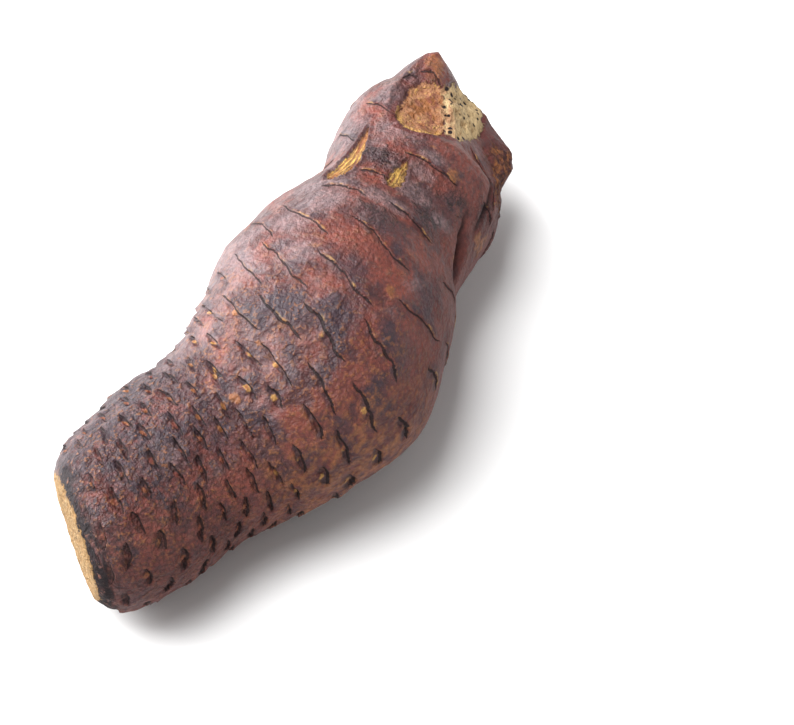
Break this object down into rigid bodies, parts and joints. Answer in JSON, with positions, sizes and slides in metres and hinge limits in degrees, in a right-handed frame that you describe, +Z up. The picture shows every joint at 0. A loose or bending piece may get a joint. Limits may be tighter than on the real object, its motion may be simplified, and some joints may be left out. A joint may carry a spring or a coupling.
{
  "type": "dried cistanche stem",
  "caption": "Dried fleshy herb stem lying on its side: spindle-shaped, bent at the neck, covered in scale-leaf scars, sawn flat at the base and torn open at the head.",
  "frame": {"origin": "middle of the object's box, on the surface it lies on", "axes": "+X along the stem from the sawn base to the torn head, +Z up, +Y to the left seen from above with the head ahead"},
  "size_m": [0.1604, 0.0654, 0.0563],
  "materials": {
    "stem_skin": "dried, finely wrinkled red-brown skin with a dull waxy sheen and dark scars"
  },
  "bodies": {
    "root": {"dried_stem": "stem_skin"}
  },
  "joints": []
}
